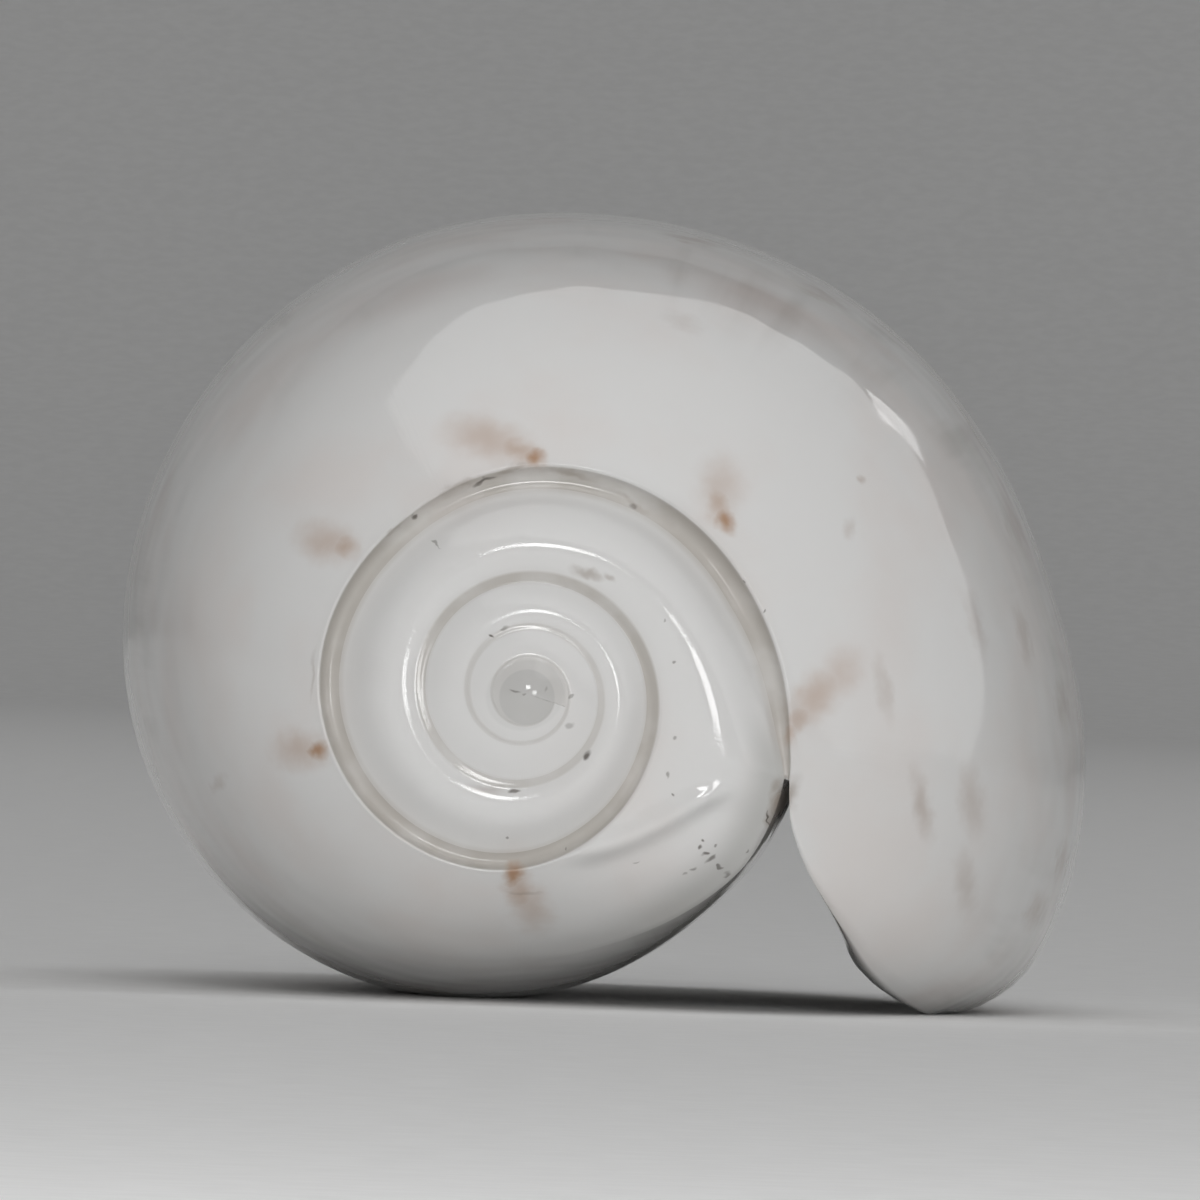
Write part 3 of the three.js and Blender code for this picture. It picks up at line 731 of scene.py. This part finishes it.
# A material's nodes. Each input takes a value or the output of another node
class Graph:
    def __init__(self, name):
        self.material = bpy.data.materials.new(name)
        self.material.use_nodes = True
        self.tree = self.material.node_tree
        self.shader = self.tree.nodes["Principled BSDF"]
        self.position = self.node("ShaderNodeTexCoord", {}, 3)

    def feed(self, socket, value):
        if isinstance(value, bpy.types.NodeSocket):
            self.tree.links.new(value, socket)
        else:
            socket.default_value = value

    def node(self, kind, inputs, output=0, **settings):
        node = self.tree.nodes.new(kind)
        for name, value in settings.items():
            setattr(node, name, value)
        for name, value in inputs.items():
            self.feed(node.inputs[name], value)
        return node.outputs[output]

    def attribute(self, name):
        return self.node("ShaderNodeAttribute", {}, 2, attribute_name=name)

    def math(self, operation, *values):
        return self.node("ShaderNodeMath", dict(enumerate(values)), operation=operation)

    def product(self, *values):
        result = values[0]
        for value in values[1:]:
            result = self.math("MULTIPLY", result, value)
        return result

    def blend(self, share, first, second):
        return self.node("ShaderNodeMix", {0: share, 6: first, 7: second}, 2, data_type="RGBA")

    # Eases from one value to another while the input goes from low to high. Smooth easing stays
    # between its ends without a clamp, which would need more of the renderer's stack
    def ease(self, value, low, high, start=0.0, end=1.0):
        inputs = {"Value": value, "From Min": low, "From Max": high, "To Min": start, "To Max": end}
        settings = {"interpolation_type": "SMOOTHSTEP", "clamp": False}
        return self.node("ShaderNodeMapRange", inputs, **settings)

    def noise(self, vector, scale, detail, output=0):
        inputs = {"Vector": vector, "Scale": scale, "Detail": detail}
        return self.node("ShaderNodeTexNoise", inputs, output)

    def cloud(self, vector, scale, detail, *limits):
        return self.ease(self.noise(vector, scale, detail), *limits)

    def finish(self, colour, roughness, height, relief):
        self.feed(self.shader.inputs["Base Color"], colour)
        self.feed(self.shader.inputs["Roughness"], roughness)
        bump = self.node("ShaderNodeBump", {"Height": height, "Distance": relief * MM})
        self.feed(self.shader.inputs["Normal"], bump)
        return self.material


# World place of a point given in millimetres to the right of and above the coiling axis,
# as the photograph shows it
def seen_place(across, up):
    roll = math.radians(VIEW_ROLL)
    x = AXIS_OFFSET + across * math.cos(roll) - up * math.sin(roll)
    z = AXIS_HEIGHT - REST_DEPTH + across * math.sin(roll) + up * math.cos(roll)
    return x, z


# The looks of the shell, put on the surface by its growth: whorls back from the lip, station
# down the profile, and whether a place is inside
class ShellGraph(Graph):
    def __init__(self):
        super().__init__("olive_shell")
        self.depth = self.node("ShaderNodeSeparateXYZ", {"Vector": self.position}, 1)
        self.growth = self.attribute("growth")
        self.station = self.attribute("station")
        self.outer = self.ease(self.attribute("inside"), *OUTER_SIDE)

    # A vector that runs around and along the shell, for streaks that follow its growth
    def run(self, around, along):
        return self.node("ShaderNodeCombineXYZ", {
            "X": self.product(self.growth, around),
            "Y": self.product(self.depth, along / MM),
        })

    # White enamel with a faint warm mottling, and with streaks that follow the lip
    def enamel(self):
        spire = self.ease(self.growth, *MOTTLING_GROWTH)
        mottling = self.product(self.cloud(self.position, *MOTTLING), spire)
        colour = self.blend(mottling, ENAMEL, WARM_ENAMEL)
        on_body = self.product(self.ease(self.station, *BODY_STATIONS), self.outer)
        patches = self.cloud(self.position, *STREAK_PATCHES)
        streaks = self.product(self.cloud(self.run(*STREAK_RUN), *STREAKS), patches)
        colour = self.blend(self.product(streaks, on_body), colour, STREAK_TINT)
        blush = self.cloud(self.run(*BLUSH_RUN), *BLUSH)
        return self.blend(self.product(blush, on_body), colour, BLUSH_TINT)

    # Share of dust and of painted shade in the channel groove and along the inner sutures, less where
    # callus fills them
    def channel_dust_and_shade(self):
        groove = self.ease(self.station, *CHANNEL_STATIONS)
        suture = self.product(
            self.ease(self.station, *SUTURE_STATIONS), self.ease(self.growth, *SUTURE_GROWTH))
        dust_and_shade = self.math("MAXIMUM", groove, suture)
        filled = self.ease(self.growth, *CHANNEL_GROWTH)
        return self.product(dust_and_shade, filled, self.cloud(self.position, *CHANNEL_DUST_AND_SHADE))

    # The greyer wall that the callus leaves bare beside the lip
    def bare_wall(self):
        around = self.product(
            self.ease(self.growth, *BARE_ONSET), self.ease(self.growth, *BARE_END))
        return self.product(around, self.ease(self.station, *BARE_STATIONS), self.outer)

    # The position, shaken a little so that marks get torn outlines
    def torn_position(self):
        shake = self.noise(self.position, *SHAKE_NOISE, 1)
        shake = self.node(
            "ShaderNodeVectorMath", {0: shake, 1: NOISE_MIDDLE}, operation="SUBTRACT")
        shake = self.node(
            "ShaderNodeVectorMath", {0: shake, "Scale": SHAKE * MM}, operation="SCALE")
        return self.node(
            "ShaderNodeVectorMath", {0: self.position, 1: shake}, operation="ADD")

    # A mask of soft spots, level inside the core share of their reach
    def spots(self, position, spots, core):
        mask = 0.0
        for across, up, run, length, width, strength in spots:
            x, z = seen_place(across, up)
            local = self.node("ShaderNodeMapping", {
                "Vector": position,
                "Location": (x * MM, 0, z * MM),
                "Rotation": (0, -math.radians(run + VIEW_ROLL), 0),
                "Scale": (length * MM, 1, width * MM),
            }, vector_type="TEXTURE")
            reach = self.node(
                "ShaderNodeTexGradient", {"Vector": local}, 1, gradient_type="SPHERICAL")
            mask = self.math("MAXIMUM", mask, self.ease(reach, 0, 1 - core, 0, strength))
        return mask

    # Polished all over, duller in dust, stains and the painted shade with them, with fine growth lines
    # on a slow swell
    def gloss(self, dull):
        polish = self.cloud(self.position, *POLISH)
        roughness = self.math("MAXIMUM", polish, self.product(dull, DULL_ROUGHNESS))
        lines = self.product(self.noise(self.run(*LINE_RUN), *LINE_NOISE), LINE_HEIGHT)
        swell = self.product(self.noise(self.position, *SWELL_NOISE), SWELL_HEIGHT)
        return roughness, self.math("ADD", lines, swell)


def shell_material():
    graph = ShellGraph()
    colour = graph.enamel()
    # Greys the channel and the inner sutures: partly dust, partly painted shade in the grooves
    dust_and_shade = graph.channel_dust_and_shade()
    colour = graph.blend(graph.product(dust_and_shade, CHANNEL_TONE), colour, CHANNEL_DUST_AND_SHADE_TINT)
    colour = graph.blend(graph.product(graph.bare_wall(), BARE_TONE), colour, BARE_TINT)
    colour = graph.blend(graph.spots(graph.position, NUCLEUS, NUCLEUS_CORE), colour, NUCLEUS_TINT)

    torn = graph.torn_position()
    near_side = graph.ease(graph.depth, SPOT_DEPTH[0] * MM, SPOT_DEPTH[1] * MM, 1, 0)
    front = graph.product(graph.outer, near_side)
    dull = graph.product(dust_and_shade, CHANNEL_DULLNESS)
    for spots, core, tint, dulls in MARKS:
        mask = graph.product(graph.spots(torn, spots, core), front)
        colour = graph.blend(mask, colour, tint)
        if dulls:
            dull = graph.math("MAXIMUM", dull, mask)

    roughness, height = graph.gloss(dull)
    graph.shader.inputs["IOR"].default_value = SHELL_IOR
    return graph.finish(colour, roughness, height, SHELL_RELIEF)


def floor_material():
    graph = Graph("studio_floor")
    grain = graph.noise(graph.position, *FLOOR_GRAIN)
    colour = graph.blend(graph.ease(grain, *FLOOR_TONE), FLOOR_DARK, FLOOR_PALE)
    return graph.finish(colour, graph.ease(grain, *FLOOR_ROUGHNESS), grain, FLOOR_RELIEF)


# A round floor that turns up far from the shell, so that it has no edge in any view
def add_floor():
    reach = np.concatenate([FLOOR_RINGS, np.linspace(FLOOR_FLAT, FLOOR_RADIUS, FLOOR_BOWL_RINGS)])
    height = FLOOR_RISE * (np.maximum(reach - FLOOR_FLAT, 0) / (FLOOR_RADIUS - FLOOR_FLAT)) ** 2
    turn = np.linspace(0, 2 * np.pi, FLOOR_SIDES, endpoint=False)
    rings = [[(r * math.cos(t), r * math.sin(t), h) for t in turn] for r, h in zip(reach, height)]
    points = [point for ring in rings for point in ring]
    faces = [tuple(range(FLOOR_SIDES))]
    for ring in range(len(rings) - 1):
        for side in range(FLOOR_SIDES):
            after = (side + 1) % FLOOR_SIDES
            near, far = ring * FLOOR_SIDES, (ring + 1) * FLOOR_SIDES
            faces.append((near + side, far + side, far + after, near + after))
    mesh = bpy.data.meshes.new("studio_floor")
    mesh.from_pydata(points, [], faces)
    mesh.polygons.foreach_set("use_smooth", [True] * len(mesh.polygons))
    mesh.materials.append(floor_material())
    floor = bpy.data.objects.new("studio_floor", mesh)
    bpy.context.scene.collection.objects.link(floor)
    return floor


def add_light(name, shape, size, location, aim, power, shades, reflects):
    data = bpy.data.lights.new(name, "AREA")
    data.shape = shape
    data.size, data.size_y = size
    data.energy = power
    light = bpy.data.objects.new(name, data)
    light.location = location
    light.rotation_mode = "QUATERNION"
    light.rotation_quaternion = (Vector(aim) - Vector(location)).to_track_quat("-Z", "Y")
    light.visible_camera = False
    light.visible_diffuse = shades
    light.visible_glossy = reflects
    bpy.context.scene.collection.objects.link(light)


def add_camera():
    data = bpy.data.cameras.new("camera")
    data.sensor_width = SENSOR
    data.lens = SENSOR * VIEW_DISTANCE / VIEW_WIDTH
    data.clip_start, data.clip_end = VIEW_CLIP
    scale = VIEW_WIDTH / PHOTO_SIZE
    across = (PHOTO_SIZE / 2 - AXIS_IN_PHOTO[0]) * scale
    up = (AXIS_IN_PHOTO[1] - PHOTO_SIZE / 2) * scale
    x, z = seen_place(across, up)
    camera = bpy.data.objects.new("camera", data)
    camera.location = (x * MM, (VIEW_FOCUS - LENGTH / 2 - VIEW_DISTANCE) * MM, z * MM)
    camera.rotation_euler = (math.pi / 2, -math.radians(VIEW_ROLL), 0)
    bpy.context.scene.collection.objects.link(camera)
    bpy.context.scene.camera = camera


def add_world():
    world = bpy.data.worlds.new("studio")
    world.use_nodes = True
    background = world.node_tree.nodes["Background"]
    background.inputs["Color"].default_value = (1, 1, 1, 1)
    background.inputs["Strength"].default_value = AMBIENT
    bpy.context.scene.world = world
    bpy.context.scene.view_settings.view_transform = "Standard"


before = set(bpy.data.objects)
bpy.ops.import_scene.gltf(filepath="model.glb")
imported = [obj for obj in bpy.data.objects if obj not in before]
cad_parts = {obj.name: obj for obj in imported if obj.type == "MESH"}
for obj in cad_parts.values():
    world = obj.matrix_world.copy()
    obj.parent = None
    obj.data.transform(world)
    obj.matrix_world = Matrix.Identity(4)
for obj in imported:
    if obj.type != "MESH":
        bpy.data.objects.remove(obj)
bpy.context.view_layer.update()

shell = shell_object()
shell.data.materials.append(shell_material())
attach(shell, "root")
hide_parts("olive_shell")

add_floor()
for light in LIGHTS:
    add_light(*light)
add_camera()
add_world()
